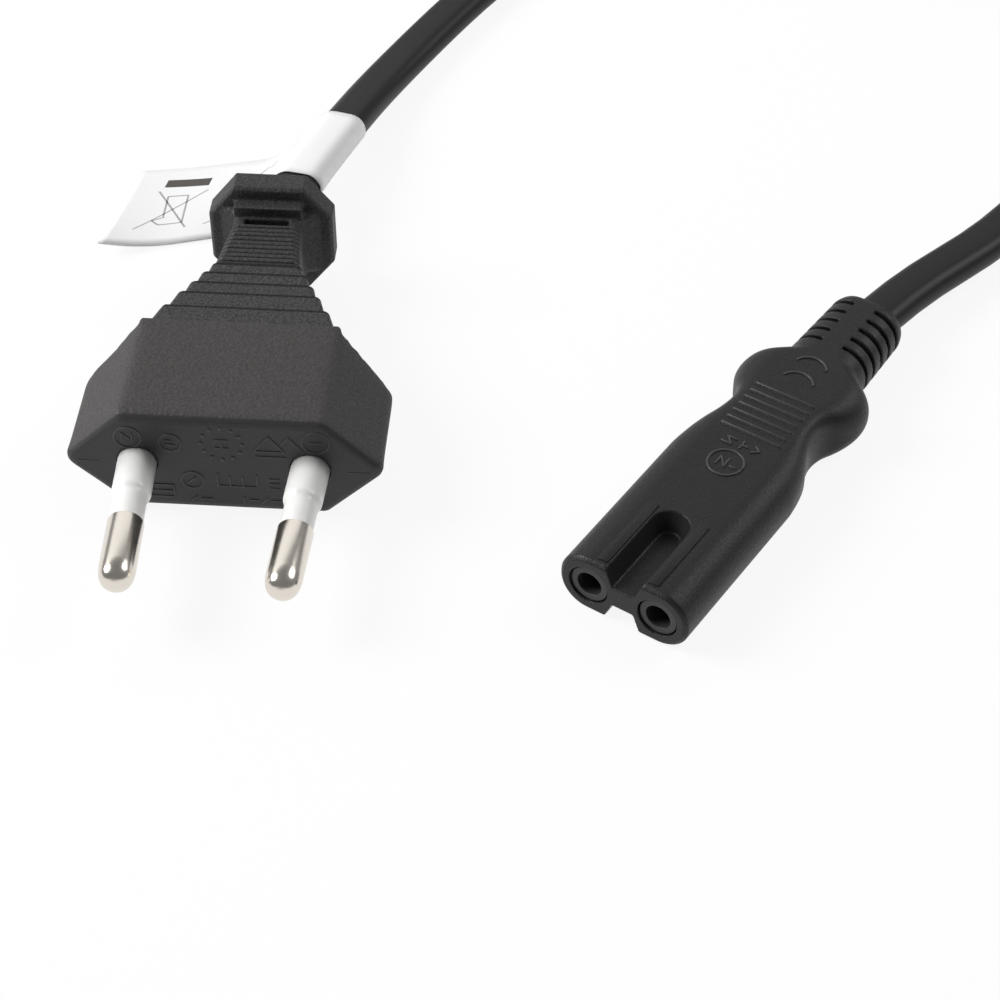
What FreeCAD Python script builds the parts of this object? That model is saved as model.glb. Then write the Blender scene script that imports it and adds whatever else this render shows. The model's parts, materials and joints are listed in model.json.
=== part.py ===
import FreeCAD, Part
import math
import os
from FreeCAD import Placement, Rotation, Vector

# A two core mains lead in millimetres, lying on the plane Z = 0. The figure eight connector lies
# along Y with its mating face towards -Y. Its flat cord runs back to a coil and on to a two pin
# plug that lies beside the connector. The origin is under the middle of the connector.

# Clearances
mould_gap = 0.05           # between an overmould and what it is moulded round
slip_gap = 0.03            # between a metal piece and what holds it
nose_gap = 0.12            # round the noses that show in the mating face

# Connector overmould, lengths measured back from the mating face
connector_length = 56.0    # mating face to the end of the strain relief
body_width = 16.0
body_height = 7.5
body_corner = 3.55         # radius of the rounded sides
face_bevel = 0.4
body_straight = 22.5       # where the sides start to narrow
waist_at = 32.0
waist_width = 10.8
waist_corner = 1.5
ear_at = 39.0
ear_width = 16.4
ear_corner = 3.6
relief_at = 43.8
relief_width = 9.8
relief_height = 7.3
relief_corner = 3.4
relief_end_width = 9.2
relief_end_height = 6.9
relief_end_round = 1.6

# Key groove between the two barrels, on the top and on the underside
groove_width = 4.6
groove_floor_width = 2.7
groove_depth = 2.4
groove_length = 11.6

# Cuts that make the strain relief flex
relief_cuts = 5
relief_cut_width = 0.6
relief_cut_depth = 1.25
relief_spine = 2.6
relief_first_cut = 45.4
relief_cut_pitch = 1.95

# Raised grip lines on the top of the waist
grip_lines = 7
grip_line_width = 0.3
grip_line_height = 0.15
grip_line_length = 7.6
grip_first_line = 26.6
grip_line_pitch = 1.3

# Hard insert with its two noses
hole_pitch = 8.6
hole_radius = 1.5
hole_depth = 4.6
nose_radius = 2.3
nose_setback = 0.25        # from the mating face to the tip of a nose
insert_block_at = 12.9
insert_block_end = 20.6
insert_side = 1.0          # wall of the block beside a chamber
insert_height = 5.4
insert_corner = 2.5
chamber_radius = 1.7

# Socket contacts
contact_radius = 1.62
contact_bore_radius = 1.2
contact_at = 5.0
contact_sleeve_end = 12.2
contact_slit = 0.5
contact_slit_end = 10.4
crimp_radius = 1.3
crimp_bore_radius = 0.78
crimp_web = 0.8            # solid metal between a contact and its crimp barrel
crimp_length = 4.6

# Flat cord with two insulated cores
cord_width = 5.8
cord_thickness = 3.6
cord_edge = 0.48           # corner radius of the flat cord, as a share of its thickness
core_radius = 1.2
wire_radius = 0.72
core_pitch = 2.7           # between the two cores where they enter the sheath
connector_sheath_at = 48.0
strip_length = 1.2         # bare wire between a crimp barrel and the core's insulation
wire_seat = 0.4            # from the bottom of a crimp barrel to the end of the wire
core_bend = 12.0
core_straight = 6.0        # insulated core in line with its contact, before it turns in
connector_pair_length = 12.0   # the two cores side by side, up to the sheath
plug_core_straight = 1.5
plug_pair_length = 7.5

# Plug body, lengths measured back from its front face
plug_width = 35.3
plug_height = 13.7
plug_flat_width = 22.4
plug_side_length = 13.0
plug_body_length = 16.5
plug_front_round = 1.0
plug_point_round = 1.3
plug_flat_round = 1.0

# Stepped neck: each band narrows and then steps in to the next
band_lengths = (3.5, 2.9, 2.2, 2.1, 1.9)
neck_start_width = 22.2
neck_start_height = 12.6
neck_bands_width = 10.2    # at the back of the last band
neck_bands_height = 9.7
band_step = 0.5            # how far a band stands out past the next one, on each side
band_step_height = 0.25    # the same on the top and on the underside
band_corner = 0.8
neck_end_width = 7.6
neck_end_height = 8.5
ridges = 9
ridge_width = 0.42
ridge_height = 0.2
ridge_pitch = 0.86
slit_width = 5.4
slit_length = 1.3
slit_depth = 1.3
slit_at = 37.6
pad_width = 8.2
pad_length = 1.5
pad_height = 1.5           # above the end of the neck
flare_length = 2.6
flare_width = 12.0
flare_height = 9.4
collar_at = 40.05
collar_length = 3.4
collar_size = 15.0
collar_flat_width = 8.4    # of the flats at the top and bottom
collar_flat_height = 6.6   # of the flats at the sides
collar_bevel = 0.4

# Pins, lengths measured from the front face
pin_base_pitch = 19.2
pin_tip_pitch = 17.5
pin_length = 19.0
pin_radius = 2.0
pin_core_radius = 1.5
pin_bare_length = 9.4
pin_nose_length = 2.1
pin_nose_flat = 0.5        # radius of the small flat on the tip
sleeve_radius = 1.84
sleeve_collar_radius = 2.17
sleeve_collar_length = 5.4
sleeve_seat = 2.6          # how far a sleeve goes back into the bridge
pin_flange_radius = 2.7
pin_flange_length = 1.4
pin_root = 8.2             # where the crimp barrel starts
pin_crimp_length = 4.0

# Hard bridge that carries the pins
bridge_at = 1.6
bridge_length = 5.2
bridge_height = 8.4
bridge_margin = 1.0        # bridge beyond the flange of a pin
bridge_corner = 1.0

# Where the plug lies
plug_x = -45.45
plug_y = -38.28
plug_turn = 30.2           # degrees, from +Y towards -X
plug_sheath_at = 37.95
plug_first_point = 45.95    # first bend of the cord behind the plug

# Coil of the length that is put away
coil_x = -40.0
coil_y = 146.0
coil_outer_radius = 37.0   # centreline of the outermost turn
coil_layers = 4
coil_turns_per_layer = 1.875
coil_turn_pitch = 6.0      # between two turns that lie side by side
coil_layer_pitch = 3.8
coil_tail = 24.0           # straight cord that belongs to the coil, at each end
coil_round = 1.5
coil_lead = 18.0           # level run between the upper tail and its first bend

# Tie round the coil, which lifts it off the plane that it lies on
tie_width = 5.0
tie_thickness = 0.4
tie_side = 270.0           # where it sits on the coil, degrees from +X towards +Y

# Label wrapped round the cord, with a flag
label_at = 6.8             # behind the collar, along the cord
label_width = 17.2
label_film = 0.25
flag_film = 0.3
flag_lean = 30.0           # degrees, from square to the cord towards the plug
flag_root_drop = 0.6       # below the middle of the cord
flag_landing = 8.0         # from the middle of the cord, square to it, as the next two
flag_lowest = 14.0
flag_length = 22.8
flag_drop = 5.1            # lowest part of the flag below the middle of the cord
flag_tip_drop = 4.6

# Worked out from the sizes above
connector_face = -connector_length / 2
connector_axis = body_height / 2
cord_floor = cord_thickness / 2
plug_axis = collar_size / 2
hole_x = hole_pitch / 2
core_x = core_pitch / 2
crimp_at = contact_sleeve_end + crimp_web
crimp_end = crimp_at + crimp_length
pin_x = pin_base_pitch / 2
pin_tilt = math.atan((pin_base_pitch - pin_tip_pitch) / 2 / pin_length)
bands_end = plug_body_length + sum(band_lengths)
coil_inner_radius = coil_outer_radius - coil_turn_pitch * coil_turns_per_layer
coil_height = cord_thickness + coil_layer_pitch * (coil_layers - 1)
coil_low_turn = tie_thickness + cord_floor
coil_top_turn = tie_thickness + coil_height - cord_floor
coil_centre = Vector(coil_x, coil_y, 0)
up = Vector(0, 0, 1)

connector_place = Placement(Vector(0, connector_face, connector_axis), Rotation())
plug_place = Placement(Vector(plug_x, plug_y, plug_axis), Rotation(up, plug_turn))


def blend(start, end, share):
    return start + (end - start) * share


def across(forward):
    """Level direction to the right of a heading."""
    return forward.cross(up).normalize()


# Route of the cord: from the connector back to the coil, and from the plug back to the coil
lower_tangent = coil_centre + Vector(coil_outer_radius, 0, coil_low_turn)
lower_tail = lower_tangent - Vector(0, coil_tail, 0)
upper_tangent = coil_centre + Vector(-coil_outer_radius, 0, coil_top_turn)
upper_tail = upper_tangent - Vector(0, coil_tail, 0)
upper_lead = upper_tail - Vector(0, coil_lead, 0)

connector_route = [
    connector_place.multVec(Vector(0, connector_sheath_at, 0)),
    Vector(0, 31.5, connector_axis),
    Vector(5.6, 56, cord_floor),
    Vector(4.6, 76, cord_floor),
    Vector(lower_tail.x, 100, cord_floor),
    lower_tail,
]
plug_route = [
    plug_place.multVec(Vector(0, plug_sheath_at, 0)),
    plug_place.multVec(Vector(0, plug_first_point, 0)),
    Vector(-75.2, 23.9, 4.2),
    Vector(-78.9, 38.2, cord_floor),
    Vector(-80.7, 60, cord_floor),
    Vector(-80.4, 73, cord_floor),
    Vector(-79.2, 86, 4.3),
    upper_lead,
    upper_tail,
]


def rounded_rectangle(width, height, corner, y=0.0):
    """Closed wire across the Y axis: a rectangle with four round corners."""
    x = width / 2
    z = height / 2
    corners = [(x, z, corner), (-x, z, corner), (-x, -z, corner), (x, -z, corner)]
    return rounded_polygon(corners, y)


def rounded_polygon(corners, y=0.0):
    """Closed wire across the Y axis. Each corner is (x, z, radius), in order round the outline."""
    points = [Vector(x, y, z) for x, z, radius in corners]
    bends = []
    for index, (x, z, radius) in enumerate(corners):
        corner = points[index]
        back = (points[index - 1] - corner).normalize()
        onward = (points[(index + 1) % len(points)] - corner).normalize()
        half = back.getAngle(onward) / 2
        reach = radius / math.tan(half)
        middle = corner + (back + onward).normalize() * (radius / math.sin(half) - radius)
        bends.append((corner + back * reach, middle, corner + onward * reach))
    edges = []
    for bend, following in zip(bends, bends[1:] + bends[:1]):
        edges.append(Part.Arc(*bend).toShape())
        edges.append(Part.LineSegment(bend[2], following[0]).toShape())
    return Part.Wire(edges)


def loft(wires):
    return Part.makeLoft(wires, True, True)


def smooth_loft(wires):
    """Curved skin over several sections, of a low degree so that it can't swing out between them."""
    return Part.makeLoft(wires, True, False, False, 2)


def extrude(wire, length):
    """Solid from a closed wire, pushed back along Y."""
    return Part.Face(wire).extrude(Vector(0, length, 0))


def rod(radius, start, end, x=0.0):
    """Round bar along Y between two stations."""
    return Part.makeCylinder(radius, end - start, Vector(x, start, 0), Vector(0, 1, 0))


def slab(width, start, end, low, high, x=0.0):
    """Box centred on x, between two stations along Y and two heights."""
    return Part.makeBox(width, end - start, high - low, Vector(x - width / 2, start, low))


def fuse(shapes):
    """One solid from several that touch or overlap."""
    return shapes[0].multiFuse(shapes[1:]).removeSplitter()


def cut(shape, tools):
    return shape.cut(Part.makeCompound(tools))


def mirrored(shape):
    """The same shape on the underside."""
    return shape.mirror(Vector(0, 0, 0), up)


def smooth_path(points, name, radii=None):
    """Straight runs joined by tangent arcs, each as large as its two runs allow unless given."""
    edges = []
    made = []
    start = points[0]
    for index, (before, corner, after) in enumerate(zip(points, points[1:], points[2:])):
        arriving = (corner - before).normalize()
        leaving = (after - corner).normalize()
        half_turn = arriving.getAngle(leaving) / 2
        shorter = min(before.distanceToPoint(corner), corner.distanceToPoint(after))
        radius = radii[index] if radii else 0.45 * shorter / math.tan(half_turn)
        setback = radius * math.tan(half_turn)
        inward = (leaving - arriving).normalize()
        enter = corner - arriving * setback
        leave = corner + leaving * setback
        middle = corner + inward * (radius / math.cos(half_turn) - radius)
        edges.append(Part.LineSegment(start, enter).toShape())
        edges.append(Part.Arc(enter, middle, leave).toShape())
        made.append(round(radius, 1))
        start = leave
    edges.append(Part.LineSegment(start, points[-1]).toShape())
    print(name, "bend radii", made)
    return Part.Wire(edges)


def part_of_path(path, start, end):
    """The stretch of a path between two lengths measured along it."""
    edges = []
    passed = 0.0
    for edge in path.OrderedEdges:
        low = max(start - passed, 0.0)
        high = min(end - passed, edge.Length)
        if high > low:
            first = edge.getParameterByLength(low)
            last = edge.getParameterByLength(high)
            edges.append(edge.Curve.toShape(first, last))
        passed += edge.Length
    return Part.Wire(edges)


def cord_section(extra, origin, forward):
    """Outline of the flat cord across its heading, larger by extra on every side."""
    height = cord_thickness + 2 * extra
    wire = rounded_rectangle(cord_width + 2 * extra, height, height * cord_edge)
    wire.Placement = Placement(origin, Rotation(across(forward), forward, up, "YXZ"))
    return wire


def sweep(section, path):
    """Solid from a section moved along a path, kept level from side to side."""
    pipe = Part.BRepOffsetAPI.MakePipeShell(path)
    pipe.setBiNormalMode(up)
    pipe.add(section)
    pipe.build()
    pipe.makeSolid()
    return pipe.shape()


def sweep_cord(path, extra=0.0):
    start = path.OrderedEdges[0]
    first = start.FirstParameter
    return sweep(cord_section(extra, start.valueAt(first), start.tangentAt(first)), path)


def sweep_round(path, radius):
    start = path.OrderedEdges[0]
    first = start.FirstParameter
    ring = Part.makeCircle(radius, start.valueAt(first), start.tangentAt(first))
    return sweep(Part.Wire(ring), path)


def grip_stations():
    """Sections of the overmould from the end of its straight sides to the strain relief."""
    shoulder = ((0.0, 0.0), (0.26, 0.15), (0.58, 0.54), (0.84, 0.92), (1.0, 1.0))
    ear_front = ((0.28, 0.17), (0.56, 0.7), (0.8, 0.96), (1.0, 1.0))
    ear_back = ((0.32, 0.9), (0.62, 0.54), (0.83, 0.15), (1.0, 0.0))
    wires = []
    for along, share in shoulder:
        width = blend(body_width, waist_width, share)
        corner = blend(body_corner, waist_corner, share)
        y = blend(body_straight, waist_at, along)
        wires.append(rounded_rectangle(width, body_height, corner, y))
    for along, share in ear_front:
        width = blend(waist_width, ear_width, share)
        corner = blend(waist_corner, ear_corner, share)
        y = blend(waist_at, ear_at, along)
        wires.append(rounded_rectangle(width, body_height, corner, y))
    for along, share in ear_back:
        width = blend(relief_width, ear_width, share)
        height = blend(relief_height, body_height, share)
        corner = blend(relief_corner, ear_corner, share)
        y = blend(ear_at, relief_at, along)
        wires.append(rounded_rectangle(width, height, corner, y))
    return wires


def relief_section(y, inset=0.0):
    """Section of the strain relief at a station, smaller by inset on every side."""
    share = (y - relief_at) / (connector_length - relief_at)
    width = blend(relief_width, relief_end_width, share) - 2 * inset
    height = blend(relief_height, relief_end_height, share) - 2 * inset
    return rounded_rectangle(width, height, relief_corner - inset, y)


def relief_body():
    """Tapered strain relief with a rounded end."""
    wires = [relief_section(relief_at)]
    for angle in (0, 30, 60, 90):
        turned = math.radians(angle)
        y = connector_length - relief_end_round * (1 - math.sin(turned))
        wires.append(relief_section(y, relief_end_round * (1 - math.cos(turned))))
    return loft(wires)


def relief_cutters():
    """Slots on both sides of the strain relief, apart from the spine along the top and bottom."""
    cutters = []
    core = loft([relief_section(relief_at, relief_cut_depth),
                 relief_section(connector_length, relief_cut_depth)])
    spine = slab(relief_spine, relief_at, connector_length, -relief_height, relief_height)
    for index in range(relief_cuts):
        start = relief_first_cut + index * relief_cut_pitch
        end = start + relief_cut_width
        disc = slab(2 * relief_width, start, end, -relief_height, relief_height)
        cutters.append(cut(disc, [core, spine]))
    return cutters


def key_groove():
    """Trapezoid groove in the top, from the mating face to a rounded end."""
    top = body_height / 2
    floor = top - groove_depth
    slope = (groove_width - groove_floor_width) / 2 / groove_depth
    open_top = top + groove_depth
    open_half = groove_width / 2 + slope * groove_depth
    floor_half = groove_floor_width / 2
    outline = [Vector(-open_half, 0, open_top), Vector(open_half, 0, open_top),
               Vector(floor_half, 0, floor), Vector(-floor_half, 0, floor)]
    centre = groove_length - groove_width / 2
    channel = Part.Face(Part.makePolygon(outline + outline[:1])).extrude(Vector(0, centre, 0))
    end = Part.makeCone(floor_half, open_half, open_top - floor, Vector(0, centre, floor), up)
    return fuse([channel, end])


def core_path(side, name, straight_from=None):
    """Middle line of one core in the connector, from its crimp barrel to the sheath."""
    insulation_at = crimp_end + strip_length
    start = insulation_at if straight_from is None else straight_from
    points = [Vector(side * hole_x, start, 0),
              Vector(side * hole_x, insulation_at + core_straight, 0),
              Vector(side * core_x, connector_sheath_at - connector_pair_length, 0),
              Vector(side * core_x, connector_sheath_at, 0)]
    return smooth_path(points, name, [core_bend, core_bend])


def insert_outline(y, gap=0.0):
    width = hole_pitch + 2 * (chamber_radius + insert_side) + 2 * gap
    return rounded_rectangle(width, insert_height + 2 * gap, insert_corner + gap, y)


def make_connector():
    """Overmould, insert, contacts and cores of the connector, in its own place."""
    bevelled = rounded_rectangle(body_width - 2 * face_bevel, body_height - 2 * face_bevel,
                                 body_corner - face_bevel, 0.0)
    full = rounded_rectangle(body_width, body_height, body_corner, face_bevel)
    shell = fuse([loft([bevelled, full]), extrude(full, body_straight - face_bevel),
                  smooth_loft(grip_stations()), relief_body()])
    lines = []
    for index in range(grip_lines):
        start = grip_first_line + index * grip_line_pitch
        low = body_height / 2 - grip_line_height
        high = body_height / 2 + grip_line_height
        lines.append(slab(grip_line_length, start, start + grip_line_width, low, high))
    shell = fuse([shell] + lines)
    sheath = extrude(rounded_rectangle(cord_width + 2 * mould_gap, cord_thickness + 2 * mould_gap,
                                       (cord_thickness + 2 * mould_gap) * cord_edge,
                                       connector_sheath_at), connector_length)
    block_length = insert_block_end - insert_block_at
    block_room = extrude(insert_outline(insert_block_at - mould_gap, mould_gap),
                         block_length + 2 * mould_gap)
    tools = relief_cutters() + [key_groove(), mirrored(key_groove()), sheath, block_room]
    insert = [extrude(insert_outline(insert_block_at), block_length)]
    bores = []
    for side, name in ((-1, "left"), (1, "right")):
        x = side * hole_x
        tools.append(rod(nose_radius + nose_gap, -face_bevel, insert_block_at, x))
        insert.append(rod(nose_radius, nose_setback, insert_block_at, x))
        bores.append(rod(hole_radius, 0, hole_depth, x))
        bores.append(rod(chamber_radius, hole_depth, insert_block_end, x))
        sleeve = cut(rod(contact_radius, contact_at, crimp_at, x),
                     [rod(contact_bore_radius, contact_at, contact_sleeve_end, x),
                      slab(contact_slit, contact_at, contact_slit_end, 0, contact_radius, x)])
        barrel = cut(rod(crimp_radius, crimp_at, crimp_end, x),
                     [rod(crimp_bore_radius, crimp_at, crimp_end, x)])
        parts["contact_" + name] = fuse([sleeve, barrel])
        path = core_path(side, "connector core " + name)
        wire_path = core_path(side, "connector wire " + name, crimp_at + wire_seat)
        wire = sweep_round(wire_path, wire_radius)
        room = sweep_round(wire_path, wire_radius + slip_gap)
        parts["connector_wire_" + name] = wire
        parts["connector_core_" + name] = sweep_round(path, core_radius).cut(room)
        tools.append(sweep_round(path, core_radius + mould_gap))
    parts["connector_insert"] = cut(fuse(insert), bores)
    parts["connector_shell"] = cut(shell, tools)
    for node in list(parts):
        parts[node].Placement = connector_place.multiply(parts[node].Placement)


def plug_section(y, inset=0.0):
    """Hexagon of the plug body at a station. Its side points are cut back where they are rounded."""
    slope = math.atan2(plug_height, plug_width - plug_flat_width)
    point = plug_width / 2 + plug_point_round / math.sin(slope) - plug_point_round - inset
    flat = plug_flat_width / 2 - inset / 2
    top = plug_height / 2 - inset
    return rounded_polygon([(point, 0, plug_point_round), (flat, top, plug_flat_round),
                            (-flat, top, plug_flat_round), (-point, 0, plug_point_round),
                            (-flat, -top, plug_flat_round), (flat, -top, plug_flat_round)], y)


def plug_body():
    """Flat hexagonal body whose back corners slope in to the neck."""
    fronts = []
    for angle in (0, 30, 60, 90):
        turned = math.radians(angle)
        fronts.append(plug_section(plug_front_round * (1 - math.sin(turned)),
                                   plug_front_round * (1 - math.cos(turned))))
    prism = extrude(plug_section(plug_front_round), plug_body_length - plug_front_round)
    side = plug_width / 2
    back = plug_flat_width / 2
    deep = plug_height
    plan = [Vector(-side, 0, -deep), Vector(side, 0, -deep), Vector(side, plug_side_length, -deep),
            Vector(back, plug_body_length, -deep), Vector(-back, plug_body_length, -deep),
            Vector(-side, plug_side_length, -deep)]
    outline = Part.Face(Part.makePolygon(plan + plan[:1])).extrude(Vector(0, 0, 2 * deep))
    return fuse([loft(fronts[::-1]), prism]).common(outline)


def neck_width(y):
    """Widths and heights of the neck at a station behind the bands."""
    share = (y - bands_end) / (collar_at - bands_end)
    return blend(neck_bands_width, neck_end_width, share), blend(neck_bands_height, neck_end_height, share)


def neck_section(y, width, height):
    return rounded_rectangle(width, height, band_corner, y)


def neck():
    """Stepped bands, then a plain taper with fine ridges, flaring into the collar."""
    shapes = []
    start = plug_body_length
    run = bands_end - plug_body_length
    for length in band_lengths:
        end = start + length
        wires = []
        for y, step in ((start, 0.0), (end, 1.0)):
            share = (y - plug_body_length) / run
            width = blend(neck_start_width, neck_bands_width, share) + band_step * (2 * step - 1)
            height = blend(neck_start_height, neck_bands_height, share)
            height += band_step_height * (2 * step - 1)
            wires.append(neck_section(y, width, height))
        shapes.append(loft(wires))
        start = end
    taper = [neck_section(bands_end, *neck_width(bands_end)),
             neck_section(collar_at, *neck_width(collar_at))]
    flare_at = collar_at - flare_length
    flare = [neck_section(flare_at, *neck_width(flare_at)),
             neck_section(collar_at - flare_length * 0.45, neck_end_width + 0.8, neck_end_height),
             neck_section(collar_at, flare_width, flare_height)]
    return shapes + [loft(taper), loft(flare)]


def neck_ridges():
    """Fine ridges across the top of the neck, sunk a little into it."""
    bars = []
    for index in range(ridges):
        y = bands_end + (index + 0.75) * ridge_pitch
        width, height = neck_width(y)
        top = height / 2
        bars.append(slab(width - 2 * band_corner, y, y + ridge_width,
                         top - ridge_height, top + ridge_height))
    return bars


def collar_section(y, inset=0.0):
    side = collar_size / 2 - inset
    wide = collar_flat_width / 2
    tall = collar_flat_height / 2
    corners = [(side, tall), (wide, side), (-wide, side), (-side, tall),
               (-side, -tall), (-wide, -side), (wide, -side), (side, -tall)]
    points = [Vector(x, y, z) for x, z in corners]
    return Part.makePolygon(points + points[:1])


def collar():
    """Octagonal collar with both edges bevelled."""
    end = collar_at + collar_length
    return [loft([collar_section(collar_at, collar_bevel),
                  collar_section(collar_at + collar_bevel)]),
            loft([collar_section(collar_at + collar_bevel),
                  collar_section(end - collar_bevel)]),
            loft([collar_section(end - collar_bevel), collar_section(end, collar_bevel)])]


def on_pin(side, distance):
    """Point on the middle line of a pin, at a distance behind the front face."""
    reach = distance * math.sin(pin_tilt)
    return Vector(side * (pin_x + reach), distance * math.cos(pin_tilt), 0)


def along_pin(shape, side):
    """Turn a shape that was made along Y on to the middle line of a pin."""
    tilt = -side * math.degrees(pin_tilt)
    shape.Placement = Placement(on_pin(side, 0), Rotation(up, tilt))
    return shape


def pin_shape(gap=0.0):
    """Turned pin along Y: bullet nose, bare shank, core under the sleeve, flange and barrel."""
    shoulder = pin_nose_length - pin_length
    bare_end = pin_bare_length - pin_length
    flange_at = sleeve_seat + slip_gap
    flange_end = flange_at + pin_flange_length
    bulge = 0.72
    nose = Vector(blend(pin_nose_flat, pin_radius, bulge),
                  blend(-pin_length, shoulder, 1 - bulge), 0)
    profile = [
        Part.LineSegment(Vector(0, -pin_length, 0), Vector(pin_nose_flat, -pin_length, 0)),
        Part.Arc(Vector(pin_nose_flat, -pin_length, 0), nose, Vector(pin_radius, shoulder, 0)),
    ]
    steps = [(pin_radius, shoulder), (pin_radius, bare_end), (pin_core_radius + gap, bare_end),
             (pin_core_radius + gap, flange_at - gap), (pin_flange_radius + gap, flange_at - gap),
             (pin_flange_radius + gap, flange_end + gap), (pin_core_radius + gap, flange_end + gap),
             (pin_core_radius + gap, pin_root + pin_crimp_length),
             (0, pin_root + pin_crimp_length), (0, -pin_length)]
    points = [Vector(x, y, 0) for x, y in steps]
    for here, there in zip(points, points[1:]):
        profile.append(Part.LineSegment(here, there))
    wire = Part.Wire([piece.toShape() for piece in profile])
    return Part.Face(wire).revolve(Vector(0, 0, 0), Vector(0, 1, 0), 360)


def sleeve_shape(gap=0.0):
    """White sleeve: thin along the pin, thicker where it goes into the plug."""
    thin_from = pin_bare_length - pin_length
    thick_from = -sleeve_collar_length
    return fuse([rod(sleeve_radius + gap, thin_from, thick_from),
                 rod(sleeve_collar_radius + gap, thick_from, sleeve_seat + gap)])


def plug_core_path(side, name, straight_from=None):
    """Middle line of one core in the plug, from its crimp barrel to the sheath."""
    insulation_at = pin_root + pin_crimp_length + strip_length
    start = insulation_at if straight_from is None else straight_from
    points = [on_pin(side, start), on_pin(side, insulation_at + plug_core_straight),
              Vector(side * core_x, plug_sheath_at - plug_pair_length, 0),
              Vector(side * core_x, plug_sheath_at, 0)]
    return smooth_path(points, name, [core_bend / 3, core_bend])


def make_plug():
    """Overmould, bridge, pins, sleeves and cores of the plug, in its own place."""
    made = {}
    bridge_width = pin_base_pitch + 2 * (pin_flange_radius + bridge_margin)
    bridge = extrude(rounded_rectangle(bridge_width, bridge_height, bridge_corner, bridge_at),
                     bridge_length)
    bridge_room = extrude(rounded_rectangle(bridge_width + 2 * mould_gap,
                                            bridge_height + 2 * mould_gap,
                                            bridge_corner + mould_gap, bridge_at - mould_gap),
                          bridge_length + 2 * mould_gap)
    sheath = extrude(rounded_rectangle(cord_width + 2 * mould_gap, cord_thickness + 2 * mould_gap,
                                       (cord_thickness + 2 * mould_gap) * cord_edge,
                                       plug_sheath_at), plug_sheath_at)
    neck_top = neck_end_height / 2
    slit = slab(slit_width, slit_at - slit_length / 2, slit_at + slit_length / 2,
                neck_top - slit_depth, neck_top + slit_depth)
    pad = slab(pad_width, collar_at - pad_length, collar_at + collar_bevel, 0,
               neck_top + pad_height)
    top_side = neck_ridges() + [pad]
    details = top_side + [mirrored(shape) for shape in top_side]
    tools = [bridge_room, sheath, slit, mirrored(slit)]
    holes = []
    for side, name in ((-1, "left"), (1, "right")):
        barrel = rod(crimp_bore_radius, pin_root, pin_root + pin_crimp_length)
        pin = pin_shape().cut(barrel)
        made["pin_" + name] = along_pin(pin, side)
        sleeve = sleeve_shape().cut(rod(pin_core_radius + slip_gap,
                                        pin_bare_length - pin_length, sleeve_seat))
        made["sleeve_" + name] = along_pin(sleeve, side)
        room = [along_pin(pin_shape(mould_gap), side), along_pin(sleeve_shape(mould_gap), side)]
        holes.extend(room)
        tools.extend(room)
        path = plug_core_path(side, "plug core " + name)
        wire_path = plug_core_path(side, "plug wire " + name, pin_root + wire_seat)
        wire_room = sweep_round(wire_path, wire_radius + slip_gap)
        made["plug_wire_" + name] = sweep_round(wire_path, wire_radius)
        made["plug_core_" + name] = sweep_round(path, core_radius).cut(wire_room)
        tools.extend([sweep_round(path, core_radius + mould_gap),
                      sweep_round(wire_path, wire_radius + mould_gap)])
    made["plug_bridge"] = cut(bridge, holes)
    made["plug_shell"] = cut(fuse([plug_body()] + neck() + collar() + details), tools)
    for node, shape in made.items():
        shape.Placement = plug_place.multiply(shape.Placement)
        parts[node] = shape


def coil_section(extra):
    """Section across the wound turns, larger by extra on every side."""
    width = coil_outer_radius - coil_inner_radius + cord_width + 2 * extra
    section = rounded_rectangle(width, coil_height + 2 * extra, coil_round + extra)
    middle = Vector((coil_outer_radius + coil_inner_radius) / 2, 0, coil_height / 2 + tie_thickness)
    section.translate(coil_centre + middle)
    return Part.Face(section)


def make_coil():
    """Closed outer shape of the coil with the straight cord at each end of it, and its tie."""
    shapes = [coil_section(0.0).revolve(coil_centre, up, 360)]
    for tail, tangent in ((lower_tail, lower_tangent), (upper_tail, upper_tangent)):
        forward = tangent - tail
        face = Part.Face(cord_section(0.0, tail, forward))
        shapes.append(face.extrude(forward))
    parts["cord_coil"] = fuse(shapes)
    band = math.degrees(tie_width / coil_outer_radius)
    loop = coil_section(tie_thickness).cut(coil_section(0.0)).Faces[0]
    tie = loop.revolve(coil_centre, up, band)
    tie.rotate(coil_centre, up, tie_side - band / 2)
    parts["coil_tie"] = tie


def make_label(path):
    """Film wrapped round the cord, with a flag that drops to the floor and leans to the plug."""
    start = collar_at + collar_length - plug_sheath_at + label_at
    wrapped = part_of_path(path, start, start + label_width)
    cleared = part_of_path(path, start - cord_thickness, start + label_width + cord_thickness)
    middle = part_of_path(path, start, start + label_width / 2).OrderedEdges[-1]
    origin = middle.valueAt(middle.LastParameter)
    left = across(middle.tangentAt(middle.LastParameter)) * -1
    forward = left.cross(up)
    leaning = left - forward * math.tan(math.radians(flag_lean))
    stations = ((0.3 * cord_width, flag_root_drop), (0.62 * flag_landing, 0.6 * flag_drop),
                (flag_landing, 0.92 * flag_drop), (flag_lowest, flag_drop),
                (flag_length, flag_tip_drop))
    low = [origin + leaning * aside - up * drop for aside, drop in stations]
    high = [point + up * flag_film for point in low]
    outline = []
    for line in (low, high):
        curve = Part.BSplineCurve()
        curve.interpolate(line)
        outline.append(curve.toShape())
    outline.append(Part.LineSegment(low[0], high[0]).toShape())
    outline.append(Part.LineSegment(low[-1], high[-1]).toShape())
    face = Part.Face(Part.Wire(Part.__sortEdges__(outline)))
    face.translate(forward * (-label_width / 2))
    flag = face.extrude(forward * label_width)
    wrap = sweep_cord(wrapped, mould_gap + label_film)
    parts["cord_label"] = fuse([flag, wrap]).cut(sweep_cord(cleared, mould_gap))


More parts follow.
